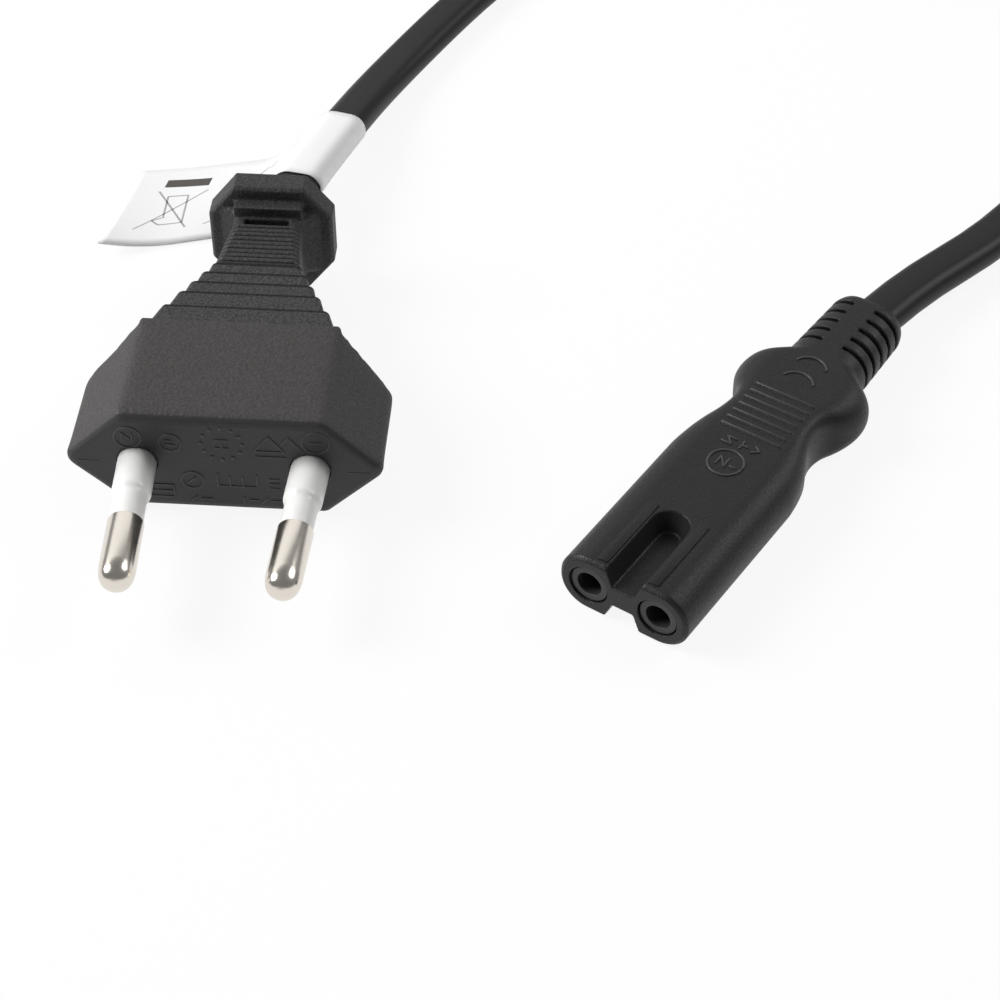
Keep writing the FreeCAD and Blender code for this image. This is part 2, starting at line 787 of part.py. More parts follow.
def make_cord():
    """The two free stretches of the cord, each from inside its overmould to the coil."""
    area = Part.Face(rounded_rectangle(cord_width, cord_thickness, cord_thickness * cord_edge)).Area
    for node, route in (("cord_connector_end", connector_route), ("cord_plug_end", plug_route)):
        path = smooth_path(route, node)
        parts[node] = sweep_cord(path)
        ratio = parts[node].Volume / (area * path.Length)
        print(node, "length", round(path.Length, 1), "volume over section times length",
              round(ratio, 4))
    turns = coil_layers * coil_turns_per_layer
    mean = (coil_outer_radius + coil_inner_radius) / 2
    print("cord in the coil", round(2 * math.pi * mean * turns, 1))
    return path


parts = {}
make_connector()
make_plug()
make_label(make_cord())
make_coil()

os.makedirs("parts", exist_ok=True)
for node, shape in parts.items():
    shape.exportStep("parts/" + node + ".step")
    box = shape.BoundBox
    print(node, "solids", len(shape.Solids), "valid", shape.isValid(),
          "volume", round(shape.Volume, 1), "low z", round(box.ZMin, 3))
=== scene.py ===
import json
import math

import bmesh
import bpy
from bpy.props import FloatProperty, FloatVectorProperty, IntProperty, PointerProperty
from bpy.types import Operator, Panel, PropertyGroup
from mathutils import Matrix, Vector


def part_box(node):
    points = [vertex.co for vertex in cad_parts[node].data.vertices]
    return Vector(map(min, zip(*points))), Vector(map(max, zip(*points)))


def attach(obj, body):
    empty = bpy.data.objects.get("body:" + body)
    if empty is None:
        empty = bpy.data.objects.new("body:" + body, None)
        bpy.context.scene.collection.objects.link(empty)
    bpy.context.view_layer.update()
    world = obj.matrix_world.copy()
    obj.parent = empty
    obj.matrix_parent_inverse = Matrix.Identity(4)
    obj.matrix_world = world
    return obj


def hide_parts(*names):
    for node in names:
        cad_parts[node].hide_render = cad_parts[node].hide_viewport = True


bl_info = {
    "name": "Figure eight mains lead",
    "version": (1, 0, 0),
    "blender": (4, 5, 0),
    "location": "3D View > Sidebar > Mains lead",
    "description": "Dresses a figure eight connector, its flat cord and its slim plug",
    "category": "Object",
}

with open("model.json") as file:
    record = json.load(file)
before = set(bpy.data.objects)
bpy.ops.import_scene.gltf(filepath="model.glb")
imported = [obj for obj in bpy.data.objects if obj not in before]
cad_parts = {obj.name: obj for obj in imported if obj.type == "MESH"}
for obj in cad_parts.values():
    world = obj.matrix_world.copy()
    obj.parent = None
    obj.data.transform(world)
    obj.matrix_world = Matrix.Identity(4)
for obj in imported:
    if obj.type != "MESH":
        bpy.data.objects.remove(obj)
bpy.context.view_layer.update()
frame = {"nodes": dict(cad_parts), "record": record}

MM = 0.001
UP = Vector((0, 0, 1))
BODY = "root"
SIDES = ((-1, "left"), (1, "right"))


def mm(x, y, z=0.0):
    """A point given in millimetres."""
    return Vector((x, y, z)) * MM


# Sizes and colours that a user would change

def length(name, description, millimetres):
    """A length that is typed in millimetres and kept in metres."""
    return FloatProperty(name=name, description=description, default=millimetres * MM,
                         unit="LENGTH", subtype="DISTANCE", precision=5)


def angle(name, description, degrees):
    return FloatProperty(name=name, description=description, default=math.radians(degrees),
                         unit="ROTATION", subtype="ANGLE")


def number(name, description, value):
    return IntProperty(name=name, description=description, default=value, subtype="UNSIGNED")


def fraction(name, description, value):
    return FloatProperty(name=name, description=description, default=value, precision=4,
                         subtype="FACTOR")


def power(name, description, watts):
    return FloatProperty(name=name, description=description, default=watts, unit="POWER")


def colour(name, description, value):
    return FloatVectorProperty(name=name, description=description, default=value, size=3,
                               subtype="COLOR", min=0.0, max=1.0)


class ConnectorSizes(PropertyGroup):
    """What is modelled on the connector beyond its solids, measured from its mating face"""
    mount_setback: length("Socket setback", "From the mating face to the middle of a bore", 2.425)
    grain: length("Remesh grain", "Voxel that rounds the moulded edges", 0.125)
    keep: fraction("Faces kept", "Share of the remeshed faces that stays", 0.325)
    nose_grain: length("Nose grain", "Voxel that rounds the edges of the insert", 0.09)
    nose_keep: fraction("Nose faces kept", "Share of the insert's remeshed faces that stays", 0.35)
    rail_offset: length("Rail offset", "From the middle to a rail beside the key groove", 3.15)
    rail_width: length("Rail width", "Across one rail", 1.25)
    rail_start: length("Rail start", "Behind the mating face", 0.9)
    rail_end: length("Rail end", "Behind the mating face", 11.4)
    rail_height: length("Rail height", "Above the top face", 0.14)
    ring_at: length("Ring place", "Behind the mating face", 21.2)
    ring_radius: length("Ring radius", "Middle of the moulded ring mark", 2.05)
    grip_first: length("First grip line", "Behind the mating face", 26.6)
    grip_pitch: length("Grip line pitch", "From one line to the next", 1.3)
    grip_length: length("Grip line length", "Across the waist", 7.6)
    grip_lines: number("Grip lines", "Raised lines across the waist", 7)


class PlugSizes(PropertyGroup):
    """What is modelled on the plug beyond its solids, measured from its front face"""
    mount_setback: length("Pin setback", "From the middle of a pin back to the front face", 13.2368)
    grain: length("Remesh grain", "Voxel that rounds the moulded edges", 0.135)
    keep: fraction("Faces kept", "Share of the remeshed faces that stays", 0.3)
    mark_width: length("Mark width", "Across a raised line on the front face", 0.2)
    mark_height: length("Mark height", "Of a raised line on the front face", 0.1)
    bands_from: length("Bands from", "Front of the coarse bands of the neck", 16.5)
    bands_to: length("Bands to", "Back of the coarse bands of the neck", 29.1)
    ridges: number("Ridges", "Fine ridges behind the bands", 9)
    ridge_pitch: length("Ridge pitch", "From one ridge to the next", 0.86)
    soft_from: length("Soft from", "Where the body's soft edges begin", 1.2)
    soft_passes: number("Soft passes", "Smoothing of the body's edges", 60)


class PinSizes(PropertyGroup):
    """Turned shape of a pin and its sleeve, measured from the front face of the plug"""
    base_pitch: length("Base pitch", "Between the pins at the front face", 19.2)
    tip_pitch: length("Tip pitch", "Between the tips", 17.5)
    length: length("Pin length", "In front of the plug", 19.0)
    radius: length("Pin radius", "Of the bare metal", 2.0)
    core_radius: length("Core radius", "Of the metal inside the sleeve", 1.5)
    bare: length("Bare length", "Metal that shows beyond the sleeve", 9.4)
    nose: length("Nose length", "Of the rounded tip", 2.1)
    nose_flat: length("Nose flat", "Radius of the flat on the tip", 0.5)
    root: length("Root", "Back end of the pin, behind the front face", 12.2)
    flange_at: length("Flange place", "Behind the front face", 2.63)
    flange_radius: length("Flange radius", "Of the collar that holds the pin", 2.7)
    flange_length: length("Flange length", "Of the collar that holds the pin", 1.4)
    barrel_at: length("Barrel place", "Front of the crimp bore", 8.2)
    barrel_radius: length("Barrel radius", "Of the crimp bore", 0.78)
    sleeve_radius: length("Sleeve radius", "Of the thin part", 1.84)
    sleeve_bore: length("Sleeve bore", "Inside the sleeve", 1.53)
    collar_radius: length("Sleeve collar radius", "Of the thick part at the plug", 2.17)
    collar_length: length("Sleeve collar length", "In front of the plug", 5.4)
    sleeve_seat: length("Sleeve seat", "How far the sleeve goes into the plug", 2.6)


class CordSizes(PropertyGroup):
    """The flat cord, and the coil of the length that is put away"""
    width: length("Cord width", "Across the two cores", 5.8)
    thickness: length("Cord thickness", "Of the flat cord", 3.6)
    coil_x: length("Coil X", "Centre of the coil", -40.0)
    coil_y: length("Coil Y", "Centre of the coil", 146.0)
    coil_radius: length("Coil radius", "Middle of the outermost turn", 37.0)
    coil_layers: number("Coil layers", "Turns on top of each other", 4)
    turns: angle("Turn of a layer", "How far one layer goes round", 675.0)
    turn_pitch: length("Turn pitch", "Between two turns side by side", 6.0)
    layer_pitch: length("Layer pitch", "Between two layers", 3.8)
    coil_floor: length("Coil height", "The tie holds the coil this far off the floor", 0.4)
    climb: fraction("Climb", "Share of a layer in which the cord climbs to the next", 0.22)
    points: number("Points in a turn", "Control points of one turn", 24)


class LabelSizes(PropertyGroup):
    """White film label round the cord, with a flag"""
    start: length("Label start", "From the end of the cord inside the plug", 14.1)
    width: length("Label width", "Along the cord", 16.6)
    film: length("Film", "Thickness of one layer", 0.13)
    gap: length("Gap", "Between the film and the cord", 0.08)
    flag: length("Flag length", "From the middle of the cord to the tip, square to it", 22.5)
    taper: fraction("Taper", "How much longer the flag is at its far side than at the plug", 0.07)
    lean: angle("Lean", "Of the flag towards the plug", 30.0)
    root: length("Flag root", "Where the two layers meet", 4.9)
    shoulder: length("Shoulder", "Where the flag starts to drop", 0.5)
    landing: length("Landing", "Where the flag has come down", 8.8)
    drop: length("Drop", "Of the flag below the middle of the cord", 5.1)
    lowest: length("Lowest point", "From where the flag rises to its tip", 14.0)
    rise: length("Rise", "Of the tip above the lowest point", 0.5)
    curl: length("Curl", "Of the tip's corner at the plug, above the other one", 1.3)


class Colours(PropertyGroup):
    """Base colours of the finishes"""
    connector: colour("Connector", "Moulded PVC of the connector", (0.0115, 0.011, 0.0118))
    plug: colour("Plug", "Grained body of the plug", (0.0365, 0.0335, 0.0328))
    neck: colour("Neck", "Neck and collar of the plug", (0.0165, 0.0164, 0.0172))
    face: colour("Face", "Smooth front face of the plug", (0.03, 0.0302, 0.0325))
    sheath: colour("Sheath", "PVC of the cord", (0.0095, 0.009, 0.0095))
    insert: colour("Insert", "Hard plastic of the noses", (0.022, 0.0215, 0.022))
    sleeve: colour("Sleeve", "White sleeve of a pin", (0.86, 0.855, 0.84))
    nickel: colour("Nickel", "Plating of a pin", (0.76, 0.71, 0.64))
    brass: colour("Brass", "Stamped contacts", (0.75, 0.55, 0.28))
    copper: colour("Copper", "Bare conductors", (0.72, 0.36, 0.2))
    brown: colour("Brown core", "Insulation", (0.16, 0.06, 0.025))
    blue: colour("Blue core", "Insulation", (0.03, 0.16, 0.42))
    bridge: colour("Bridge", "Hard carrier of the pins", (0.7, 0.68, 0.62))
    film: colour("Film", "White label", (0.83, 0.83, 0.838))
    print: colour("Print", "Dark shapes on the label", (0.07, 0.062, 0.055))
    tie: colour("Tie", "Woven strap", (0.022, 0.022, 0.024))


class StageSizes(PropertyGroup):
    """Camera, lamps and floor"""
    azimuth: angle("Azimuth", "Turn of the camera about the vertical", 34.1)
    elevation: angle("Elevation", "Height of the camera", 44.46)
    target_x: length("Target X", "Where the camera looks", -21.56)
    target_y: length("Target Y", "Where the camera looks", -19.3)
    distance: length("Distance", "From the camera to its target", 282.0)
    lens: length("Lens", "Focal length", 90.0)
    world: fraction("World", "Strength of the light from all round", 0.22)
    left_lamp: power("Left lamp", "Large lamp to the left of the lead", 6.2)
    right_lamp: power("Right lamp", "Large lamp to its right", 2.0)
    back_lamp: power("Back lamp", "Wide low lamp behind it, as the camera looks", 1.25)
    floor: colour("Floor", "Pale floor", (0.9, 0.9, 0.9))


GROUPS = {
    "lead_connector": ConnectorSizes, "lead_plug": PlugSizes, "lead_pins": PinSizes,
    "lead_cord": CordSizes, "lead_label": LabelSizes, "lead_colours": Colours,
    "lead_stage": StageSizes,
}


def shade(name):
    """One of the lead's base colours."""
    return tuple(getattr(bpy.context.scene.lead_colours, name))


# Places of the two ends, from the frame

def mount_point(name):
    return next(Vector(mount["pos_m"]) for mount in frame["record"]["mounts"] if mount["name"] == name)


def upright(rightward, upward, origin):
    """Place whose X and Y axes have the given directions."""
    place = Matrix((rightward, upward, rightward.cross(upward))).transposed().to_4x4()
    place.translation = origin
    return place


def end_place(left, right, to_face):
    """X runs from the left contact to the right one, Y runs back, and the face is at zero."""
    rightward = (mount_point(right) - mount_point(left)).normalized()
    back = UP.cross(rightward)
    return upright(rightward, back, (mount_point(left) + mount_point(right)) / 2 + back * to_face)


def connector_place(context):
    return end_place("connector_socket_left", "connector_socket_right",
                     -context.scene.lead_connector.mount_setback)


def plug_place(context):
    return end_place("plug_pin_left", "plug_pin_right", context.scene.lead_plug.mount_setback)


# Meshes

def put(name, data):
    """A new object in the scene."""
    made = bpy.data.objects.new(name, data)
    bpy.context.scene.collection.objects.link(made)
    return made


def add_piece(name, data, finish, replaced):
    """An object that rides on the lead and stands for the nodes that it replaces."""
    piece = put(name, data)
    data.materials.clear()
    data.materials.append(finish)
    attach(piece, BODY)
    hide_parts(*replaced)
    return piece


def to_mesh(edit, name):
    """Makes a smooth shaded mesh of an edit mesh, and frees that."""
    for face in edit.faces:
        face.smooth = True
    mesh = bpy.data.meshes.new(name)
    edit.to_mesh(mesh)
    edit.free()
    return mesh


def worn_copy(node, place, grain, keep):
    """Copy of a solid, with its sharp mould edges rounded by a fine remesh in its own place."""
    mesh = frame["nodes"][node].data.copy()
    edit = bmesh.new()
    edit.from_mesh(mesh)
    bmesh.ops.remove_doubles(edit, verts=edit.verts, dist=0.001 * MM)
    bmesh.ops.transform(edit, matrix=place.inverted(), verts=edit.verts)
    edit.to_mesh(mesh)
    edit.free()
    work = put(node + "_work", mesh)
    remesh = work.modifiers.new("Remesh", "REMESH")
    remesh.mode = "VOXEL"
    remesh.voxel_size = grain * 1.0
    smooth = work.modifiers.new("Smooth", "SMOOTH")
    smooth.factor = 0.5
    smooth.iterations = 2
    thin = work.modifiers.new("Thin", "DECIMATE")
    thin.ratio = keep
    bpy.context.view_layer.update()
    shaped = bpy.data.meshes.new_from_object(work.evaluated_get(bpy.context.evaluated_depsgraph_get()))
    bpy.data.objects.remove(work)
    edit = bmesh.new()
    edit.from_mesh(shaped)
    bpy.data.meshes.remove(shaped)
    return edit


def finish_worn(edit, name, place, plain):
    """Puts an edited copy back in the frame, with its marks told apart from its plain vertices."""
    mark = edit.verts.layers.float.new("mark")
    edit.verts.ensure_lookup_table()
    for vert in edit.verts[plain:]:
        vert[mark] = 1.0
    bmesh.ops.transform(edit, matrix=place, verts=edit.verts)
    return to_mesh(edit, name)


def raised_bar(edit, place, size, edge=0.04 * MM):
    """A low moulded bar, half sunk, with soft top edges."""
    width, depth, height = size
    scale = Matrix.Diagonal((width, depth, 2 * height, 1.0))
    made = bmesh.ops.create_cube(edit, size=1.0, matrix=place @ scale)
    edges = list(dict.fromkeys(item for vert in made["verts"] for item in vert.link_edges))
    bmesh.ops.bevel(edit, geom=edges, offset=edge, segments=2, affect="EDGES", profile=0.5,
                    material=-1)


def raised_stroke(edit, place, start, end, width, height):
    """A raised bar from one point to another on the place's XY plane, in millimetres."""
    run = Vector(end) - Vector(start)
    middle = (Vector(start) + Vector(end)) / 2
    turned_place = place @ Matrix.Translation(mm(*middle)) \
        @ Matrix.Rotation(math.atan2(run.y, run.x), 4, "Z")
    raised_bar(edit, turned_place, (run.length * MM + width, width, height), 0.3 * width)


def raised_ring(edit, place, radius, width, height, turn=2 * math.pi, steps=40):
    """A low moulded ring or arc round the place's Z axis."""
    half = width / 2
    outline = ((radius - half, -height), (radius - half, 0.6 * height), (radius - 0.5 * half, height),
               (radius + 0.5 * half, height), (radius + half, 0.6 * height), (radius + half, -height))
    verts = [edit.verts.new(place @ Vector((x, 0, z))) for x, z in outline]
    edges = [edit.edges.new(pair) for pair in zip(verts, verts[1:] + verts[:1])]
    whole = turn >= 2 * math.pi
    made = bmesh.ops.spin(edit, geom=verts + edges, cent=place.translation, axis=place.col[2].to_3d(),
                          angle=turn, steps=steps, use_merge=whole)
    if not whole:
        last = [item for item in made["geom_last"] if isinstance(item, bmesh.types.BMVert)]
        bmesh.ops.contextual_create(edit, geom=verts)
        bmesh.ops.contextual_create(edit, geom=last)


def turned(name, outline, place, steps=96):
    """Body of revolution about Y. Each outline point is (radius, y, corner round)."""
    edit = bmesh.new()
    verts = [edit.verts.new((radius, y, 0)) for radius, y, _ in outline]
    for pair in zip(verts, verts[1:]):
        edit.edges.new(pair)
    rounds = sorted({rounding for _, _, rounding in outline if rounding > 0})
    for rounding in rounds:
        corners = [vert for vert, point in zip(verts, outline) if point[2] == rounding]
        bmesh.ops.bevel(edit, geom=corners, offset=rounding, segments=5, affect="VERTICES",
                        profile=0.5, material=-1)
    bmesh.ops.spin(edit, geom=edit.verts[:] + edit.edges[:], cent=(0, 0, 0), axis=(0, 1, 0),
                   angle=2 * math.pi, steps=steps, use_merge=True)
    bmesh.ops.remove_doubles(edit, verts=edit.verts, dist=0.0005 * MM)
    bmesh.ops.transform(edit, matrix=place, verts=edit.verts)
    bmesh.ops.recalc_face_normals(edit, faces=edit.faces)
    return to_mesh(edit, name)


# Broken lines of the marks, in millimetres

CONNECTOR_LINES = (
    # in the ring, then beside it, from the ring's middle
    ((-0.9, -0.7), (-0.9, 0.7), (0.1, -0.7), (0.1, 0.7)), ((0.7, -0.3), (1.3, -0.3)),
    ((-2.2, 2.9), (-1.0, 2.9), (-1.9, 3.9), (-0.8, 3.9)), ((0.1, 2.8), (0.1, 4.0)),
    ((0.1, 3.4), (0.8, 3.4)), ((1.5, 2.9), (2.3, 3.5), (1.6, 4.0)),
)
CONNECTOR_ARCS = (36.9, 40.0)
PLUG_RINGS = ((-10.3, 3.7, 1.5), (-5.7, 3.2, 1.2), (10.4, 4.1, 1.5), (-3.6, -2.3, 1.2))
PLUG_LINES = (
    # small figures in the rings
    ((-10.9, 3.2), (-10.9, 4.3), (-9.8, 3.2), (-9.8, 4.3)), ((-6.2, 2.9), (-5.2, 2.9)),
    ((-6.2, 3.5), (-5.5, 3.5)), ((9.8, 4.1), (11.0, 4.1)), ((-4.1, -2.7), (-3.3, -1.9)),
    ((-0.7, 2.7), (0.7, 2.7)), ((-0.7, 3.9), (0.7, 3.9)), ((0.0, 2.7), (0.0, 3.9)),
    # two triangles with a line under them
    ((6.9, 2.5), (3.5, 2.5), (5.2, 4.7), (6.9, 2.5)), ((6.6, 3.7), (7.4, 4.7), (8.8, 2.8)),
    ((3.7, 1.7), (7.0, 1.7)),
    # box, comb and short lines of the second row
    ((-8.6, -5.0), (-5.8, -5.0), (-5.8, -3.2), (-8.6, -3.2), (-8.6, -5.0)),
    ((-8.6, -4.1), (-5.8, -4.1)), ((-0.8, -1.2), (-0.8, -3.0), (3.6, -3.0), (3.6, -1.2)),
    ((0.6, -3.0), (0.6, -1.6)), ((2.0, -3.0), (2.0, -1.6)), ((5.0, -3.1), (6.0, -3.1)),
    ((5.0, -2.4), (6.0, -2.4)), ((5.0, -1.7), (6.0, -1.7)), ((6.6, -3.1), (7.3, -1.7)),
    # lowest row
    ((-3.9, -5.4), (-3.3, -4.8)), ((-2.8, -5.1), (-1.6, -5.1)), ((2.0, -5.4), (2.0, -4.6)),
    ((2.6, -5.0), (3.5, -5.0)), ((4.0, -5.4), (4.6, -4.6)), ((5.1, -5.0), (6.2, -5.0)),
)
LABEL_LINES = (
    # from the flag's tip and from its edge at the plug: a cross, a box with a foot, then bits
    ((3.35, 11.7), (8.6, 3.15)), ((8.95, 11.05), (2.75, 3.4)),
    ((5.4, 5.9), (4.7, 10.4), (6.95, 10.3), (7.9, 4.3), (5.3, 4.2), (4.3, 5.2), (5.6, 5.8)),
    ((10.6, 3.3), (11.5, 3.9)), ((14.2, 13.0), (15.0, 14.2)), ((15.3, 13.6), (15.8, 14.8)),
)


def stretches(lines):
    """Start and end of each straight stretch."""
    for line in lines:
        yield from zip(line, line[1:])


# Finishes

BAND_LENGTHS = (3.5, 2.9, 2.2, 2.1, 1.9)


class Number:
    """A number socket of a finish, so that shader maths reads as plain expressions."""

    def __init__(self, finish, socket):
        self.finish = finish
        self.socket = socket

    def maths(self, operation, *values):
        return self.finish.maths(operation, self, *values)

    def __add__(self, other):
        return self.maths("ADD", other)

    def __sub__(self, other):
        return self.maths("SUBTRACT", other)

    def __rsub__(self, other):
        return self.finish.maths("SUBTRACT", other, self)

    def __mul__(self, other):
        return self.maths("MULTIPLY", other)

    def __gt__(self, other):
        return self.maths("GREATER_THAN", other)

    def __lt__(self, other):
        return self.maths("LESS_THAN", other)

    __radd__ = __add__
    __rmul__ = __mul__


class Finish:
    """One material: a Principled shader and the nodes that feed it."""

    def __init__(self, name, base, **constants):
        self.material = bpy.data.materials.new(name)
        self.material.use_nodes = True
        self.tree = self.material.node_tree
        self.shader = self.tree.nodes["Principled BSDF"]
        self.set("Base Color", (*base, 1.0))
        for socket, value in constants.items():
            self.set(socket.replace("_", " ").title().replace("Ior", "IOR"), value)

    def set(self, name, value):
        """Gives one socket of the shader a value or a link."""
        self.connect(self.shader.inputs[name], value)

    def connect(self, socket, value):
        if isinstance(value, Number):
            value = value.socket
        if isinstance(value, bpy.types.NodeSocket):
            self.tree.links.new(value, socket)
        else:
            socket.default_value = value

    def node(self, kind, settings, sockets):
        """Any node: its settings are set first, then the values or links of its sockets."""
        made = self.tree.nodes.new(kind)
        for name, value in settings.items():
            setattr(made, name, value)
        for key, value in sockets.items():
            self.connect(made.inputs[key], value)
        return made

    def maths(self, operation, *values):
        made = self.node("ShaderNodeMath", {"operation": operation}, dict(enumerate(values)))
        return Number(self, made.outputs[0])

    def marks(self):
        """One on the raised marks, zero elsewhere."""
        made = self.node("ShaderNodeAttribute", {"attribute_name": "mark"}, {})
        return Number(self, made.outputs["Fac"])

    def coordinates(self, place=None):
        """Object coordinates, measured in the piece's own place if one is given."""
        source = self.node("ShaderNodeTexCoord", {}, {}).outputs["Object"]
        if place is None:
            return source
        mapping = self.node("ShaderNodeMapping", {"vector_type": "TEXTURE"},
                            {"Vector": source, "Location": place.translation,
                             "Rotation": place.to_euler()})
        return mapping.outputs[0]

    def parts(self, vector):
        made = self.node("ShaderNodeSeparateXYZ", {}, {0: vector})
        return [Number(self, output) for output in made.outputs]

    def noise(self, vector, size, detail=2.0, roughness=0.5):
        """Soft random pattern whose blobs are about the given size."""
        made = self.node("ShaderNodeTexNoise", {},
                         {"Vector": vector, "Scale": 1 / size, "Detail": detail,
                          "Roughness": roughness})
        return Number(self, made.outputs[0])

    def cells(self, vector, size):
        """Distance from the middle of random cells of about the given size."""
        made = self.node("ShaderNodeTexVoronoi", {"feature": "F1"},
                         {"Vector": vector, "Scale": 1 / size})
        return Number(self, made.outputs["Distance"])

    def mix(self, share, first, second):
        """Blend of two colours, each given as three numbers or as a socket."""
        first, second = [(*one, 1.0) if isinstance(one, tuple) else one for one in (first, second)]
        made = self.node("ShaderNodeMix", {"data_type": "RGBA"}, {0: share, 6: first, 7: second})
        return made.outputs[2]

    def shades(self, share, base, low, high):
        """Blend of a darker and a lighter shade of one colour."""
        return self.mix(share, lighter(base, low), lighter(base, high))

    def bump(self, height, distance):
        made = self.node("ShaderNodeBump", {}, {"Height": height, "Distance": distance})
        self.set("Normal", made.outputs[0])

    def smooth_range(self, value, low, high):
        """Rises from 0 to 1 as the value goes from low to high."""
        made = self.node("ShaderNodeMapRange", {"interpolation_type": "SMOOTHSTEP"},
                         {"Value": value, "From Min": low, "From Max": high})
        return Number(self, made.outputs[0])

    def stripe(self, value, low, high, edge):
        """One between two values, falling to 0 over the edge outside each of them."""
        return self.smooth_range(value, low - edge, low) * self.smooth_range(value, high + edge, high)


def lighter(base, factor):
    return tuple(min(1.0, channel * factor) for channel in base)


def connector_plastic(place):
    """PVC from a spark eroded mould: fine grain, a little paler on its peaks, and raised marks painted
    lighter as a painted highlight.
    """
    base = shade("connector")
    finish = Finish("connector_pvc", base, roughness=0.46, specular_ior_level=0.34)
    here = finish.coordinates(place)
    fine = finish.noise(here, 0.16 * MM, 3.0, 0.6)
    cell = finish.cells(here, 0.272 * MM)
    marks = finish.marks()
    finish.bump((fine * 0.7 + cell * 0.5) * (1 - 0.7 * marks), 0.045 * MM)
    cloudy = finish.noise(here, 7 * MM)
    peaks = finish.smooth_range(fine, 0.38, 0.68)
    plain = finish.shades(peaks * 0.75 + cloudy * 0.25, base, 0.72, 1.32)
    # The raised marks are painted much lighter than the plastic: a painted highlight that stands in for
    # glints on their edges.
    finish.set("Base Color", finish.mix(marks * 0.8, plain, lighter(base, 5.5)))
    finish.set("Roughness", 0.47 - 0.12 * peaks + 0.08 * cloudy - 0.12 * marks)
    return finish.material


def neck_shadows(finish, along, plug):
    """Dark lines at the steps between the bands of the neck and between its fine ridges."""
    step = plug.bands_from
    shadows = 0.0
    for run in BAND_LENGTHS:
        step += run * MM
        shadows = shadows + finish.stripe(along, step - 0.36 * MM, step + 0.1 * MM, 0.13 * MM)
    for index in range(plug.ridges):
        valley = plug.bands_to + 0.4 * MM + index * plug.ridge_pitch
        shadows = shadows + 0.55 * finish.stripe(along, valley - 0.04 * MM, valley + 0.04 * MM,
                                                 0.14 * MM)
    return shadows


def plug_plastic(place, plug):
    """Leather grain on the body, coarse grain on the neck with a painted sparkle on its peaks, a smoother
    front face.
    """
    body, neck, face = (shade(name) for name in ("plug", "neck", "face"))
    finish = Finish("plug_pvc", body, roughness=0.6, specular_ior_level=0.45)
    here = finish.coordinates(place)
    along = finish.parts(here)[1]
    fine = finish.noise(here, 0.24 * MM, 3.0, 0.6)
    coarse = finish.noise(here, 0.3 * MM, 2.0, 0.55)
    leather = finish.cells(here, 0.5 * MM)
    back = finish.smooth_range(along, plug.bands_from, plug.bands_from + 0.1 * MM)
    bands = back * finish.smooth_range(along, plug.bands_to + 0.2 * MM, plug.bands_to)
    front = finish.smooth_range(along, 0.7 * MM, 0.3 * MM)
    marks = finish.marks()
    shadows = neck_shadows(finish, along, plug)
    grain = fine * 0.7 + leather * 0.8 * (1 - bands) + coarse * 1.8 * bands
    finish.bump(grain * (1 - 0.85 * front) - 2.2 * shadows, 0.07 * MM)
    cloudy = finish.noise(here, 9 * MM)
    peaks = finish.smooth_range(fine * (1 - bands) + coarse * bands, 0.36, 0.66)
    tone = peaks * (1 - 0.7 * front) + cloudy * 0.25
    # Body and face shades are the grain's own tone. On the neck, real coarse grain has its peaks painted
    # up to 2.3 times lighter, a painted sparkle highlight.
    low, high = (
        finish.mix(front, finish.mix(back, lighter(body, on_body), lighter(neck, on_neck)),
                   lighter(face, on_face))
        for on_body, on_neck, on_face in ((0.78, 0.7, 0.92), (1.25, 2.3, 1.08)))
    plain = finish.mix(shadows * 0.9, finish.mix(tone, low, high), lighter(neck, 0.05))
    # The raised marks on the front face are painted lighter than the face: a painted highlight that
    # stands in for glints on their edges.
    finish.set("Base Color", finish.mix(marks * 0.55, plain, lighter(face, 1.9)))
    finish.set("Roughness", 0.62 - 0.1 * peaks - 0.18 * bands * peaks - 0.1 * front + 0.06 * cloudy
               - 0.1 * marks + 0.4 * shadows)
    return finish.material


def sheath_plastic():
    """Extruded PVC: satin, with hardly any grain."""
    base = shade("sheath")
    finish = Finish("cord_pvc", base, roughness=0.42, specular_ior_level=0.27)
    here = finish.coordinates()
    fine = finish.noise(here, 0.35 * MM)
    broad = finish.noise(here, 12 * MM)
    finish.bump(fine, 0.006 * MM)
    finish.set("Base Color", finish.shades(broad, base, 0.85, 1.18))
    finish.set("Roughness", 0.38 + 0.1 * broad + 0.05 * fine)
    return finish.material


def hard_plastic(name, base, rough):
    """Injection moulded hard plastic with a faint flow pattern."""
    finish = Finish(name, base, roughness=rough)
    here = finish.coordinates()
    flow = finish.noise(here, 2.5 * MM)
    finish.bump(finish.noise(here, 0.25 * MM), 0.006 * MM)
    finish.set("Base Color", finish.shades(flow, base, 0.93, 1.05))
    finish.set("Roughness", rough - 0.05 + 0.1 * flow)
    return finish.material


def plated_metal(name, base, rough, place=None):
    """Plated or stamped metal with fine marks round its axis."""
    finish = Finish(name, base, roughness=rough, metallic=1.0)
    here = finish.coordinates(place)
    x, y, z = finish.parts(here)
    stretched = finish.node("ShaderNodeCombineXYZ", {}, {0: x * 0.12, 1: y, 2: z * 0.12}).outputs[0]
    lines = finish.noise(stretched, 0.09 * MM)
    spots = finish.noise(here, 1.6 * MM)
    finish.bump(lines, 0.0025 * MM)
    finish.set("Base Color", finish.shades(spots, base, 0.95, 1.04))
    finish.set("Roughness", rough - 0.04 + 0.09 * spots + 0.04 * lines)
    return finish.material


def strand_metal(name, base):
    """Twisted bare strands."""
    finish = Finish(name, base, roughness=0.35, metallic=1.0)
    here = finish.coordinates()
    strands = finish.noise(here, 0.2 * MM, 1.0)
    finish.bump(strands, 0.06 * MM)
    finish.set("Roughness", 0.28 + 0.2 * strands)
    return finish.material


